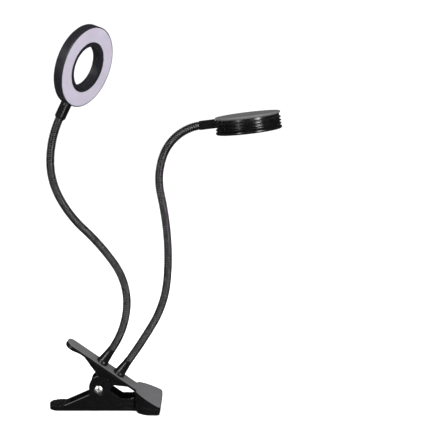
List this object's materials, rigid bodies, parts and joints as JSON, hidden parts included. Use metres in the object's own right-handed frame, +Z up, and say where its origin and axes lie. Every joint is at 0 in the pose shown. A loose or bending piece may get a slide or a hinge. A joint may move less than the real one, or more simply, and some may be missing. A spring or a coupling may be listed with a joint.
{
  "type": "led grow light",
  "caption": "Clip-on grow light: a spring clamp with two bendable goosenecks, one with a ring head and one with a finned disc head.",
  "frame": {"origin": "on the floor under the clamp's pivot, in the middle of the lower lever's flat underside", "axes": "+Z up, +X from the pivot towards the jaws, -Y the side of the pivot screw's head; jaws closed and necks bent as they stand"},
  "size_m": [0.2374, 0.0952, 0.3909],
  "materials": {
    "clamp_plastic": "moulded black ABS, semi-gloss",
    "pad_rubber": "grooved soft rubber",
    "screw_nickel": "nickel-plated steel",
    "spring_steel": "zinc-plated spring steel",
    "boot_rubber": "moulded black rubber",
    "lead_insulation": "PVC insulation",
    "fitting_steel": "zinc-plated steel",
    "neck_coil": "black coated steel coil",
    "block_plastic": "moulded black ABS",
    "ring_plastic": "dark grey ABS, semi-gloss",
    "ring_diffuser": "milky acrylic, lamp off",
    "board_white": "white solder mask",
    "led_chips": "LED packages, off",
    "disc_casing": "glossy black moulded ABS, ribbed",
    "disc_plastic": "moulded black ABS",
    "cap_plastic": "dark grey ABS, satin",
    "disc_lens": "milky acrylic, lit magenta",
    "led_lit": "LED packages, lit"
  },
  "bodies": {
    "lower_clip": {"lower_lever": "clamp_plastic", "lower_jaw_pad": "pad_rubber", "pivot_screw": "screw_nickel", "pivot_nut": "screw_nickel", "pivot_sleeve": "spring_steel", "torsion_spring": "spring_steel"},
    "upper_clip": {"upper_lever": "clamp_plastic", "upper_jaw_pad": "pad_rubber", "cable_grommet": "boot_rubber", "supply_leads": "lead_insulation", "ring_neck_boot": "boot_rubber", "disc_neck_boot": "boot_rubber", "ring_neck_stud": "fitting_steel", "disc_neck_stud": "fitting_steel", "ring_neck_nut": "fitting_steel", "disc_neck_nut": "fitting_steel", "ring_neck_1": "neck_coil", "disc_neck_1": "neck_coil"},
    "ring_arm_2": {"ring_neck_2": "neck_coil"},
    "ring_arm_3": {"ring_neck_3": "neck_coil"},
    "ring_arm_4": {"ring_neck_4": "neck_coil"},
    "ring_arm_5": {"ring_neck_5": "neck_coil"},
    "ring_head": {"ring_neck_6": "neck_coil", "ring_neck_block": "block_plastic", "ring_rear_housing": "ring_plastic", "ring_outer_bezel": "ring_plastic", "ring_inner_bezel": "ring_plastic", "ring_diffuser": "ring_diffuser", "ring_led_board": "board_white", "ring_leds": "led_chips", "ring_screws": "screw_nickel"},
    "disc_arm_2": {"disc_neck_2": "neck_coil"},
    "disc_arm_3": {"disc_neck_3": "neck_coil"},
    "disc_arm_4": {"disc_neck_4": "neck_coil"},
    "disc_arm_5": {"disc_neck_5": "neck_coil"},
    "disc_head": {"disc_neck_6": "neck_coil", "disc_neck_block": "block_plastic", "disc_housing": "disc_casing", "disc_top_cap": "cap_plastic", "disc_lens_ring": "disc_plastic", "disc_lens": "disc_lens", "disc_led_board": "board_white", "disc_leds": "led_lit", "disc_screws": "screw_nickel"}
  },
  "joints": [
    {"name": "jaw_open", "type": "hinge", "parent": "lower_clip", "child": "upper_clip", "pos_m": [0, 0, 0.0225], "axis": [0, -1, 0], "range_deg": [0, 45], "stiffness_Nm_per_rad": 1.2, "springref_deg": -6.88, "deforming": ["torsion_spring"]},
    {"name": "ring_bend_1", "type": "hinge", "parent": "upper_clip", "child": "ring_arm_2", "pos_m": [0.02941, 0, 0.106], "axis": [0.9945, 0, -0.1045], "range_deg": [-30, 30]},
    {"name": "ring_bend_2", "type": "hinge", "parent": "ring_arm_2", "child": "ring_arm_3", "pos_m": [0.01756, 0, 0.15353], "axis": [0, 1, 0], "range_deg": [-30, 30]},
    {"name": "ring_bend_3", "type": "hinge", "parent": "ring_arm_3", "child": "ring_arm_4", "pos_m": [-0.01195, 0, 0.1887], "axis": [0.6947, 0, 0.7193], "range_deg": [-30, 30]},
    {"name": "ring_bend_4", "type": "hinge", "parent": "ring_arm_4", "child": "ring_arm_5", "pos_m": [-0.03621, 0.00142, 0.22149], "axis": [0.0413, 0.9976, -0.0558], "range_deg": [-30, 30]},
    {"name": "ring_bend_5", "type": "hinge", "parent": "ring_arm_5", "child": "ring_head", "pos_m": [-0.04453, 0.00543, 0.25794], "axis": [0.9979, -0.0631, -0.0147], "range_deg": [-30, 30]},
    {"name": "disc_bend_1", "type": "hinge", "parent": "upper_clip", "child": "disc_arm_2", "pos_m": [0.05661, 0, 0.09126], "axis": [-0.866, 0, 0.5], "range_deg": [-30, 30]},
    {"name": "disc_bend_2", "type": "hinge", "parent": "disc_arm_2", "child": "disc_arm_3", "pos_m": [0.07073, 0, 0.13469], "axis": [0, 1, 0], "range_deg": [-30, 30]},
    {"name": "disc_bend_3", "type": "hinge", "parent": "disc_arm_3", "child": "disc_arm_4", "pos_m": [0.07153, 0, 0.18063], "axis": [0.9976, 0, 0.0698], "range_deg": [-30, 30]},
    {"name": "disc_bend_4", "type": "hinge", "parent": "disc_arm_4", "child": "disc_arm_5", "pos_m": [0.06541, 0, 0.22416], "axis": [0, 1, 0], "range_deg": [-30, 30]},
    {"name": "disc_bend_5", "type": "hinge", "parent": "disc_arm_5", "child": "disc_head", "pos_m": [0.0685, 0, 0.26349], "axis": [0, -1, 0], "range_deg": [-30, 30]}
  ]
}
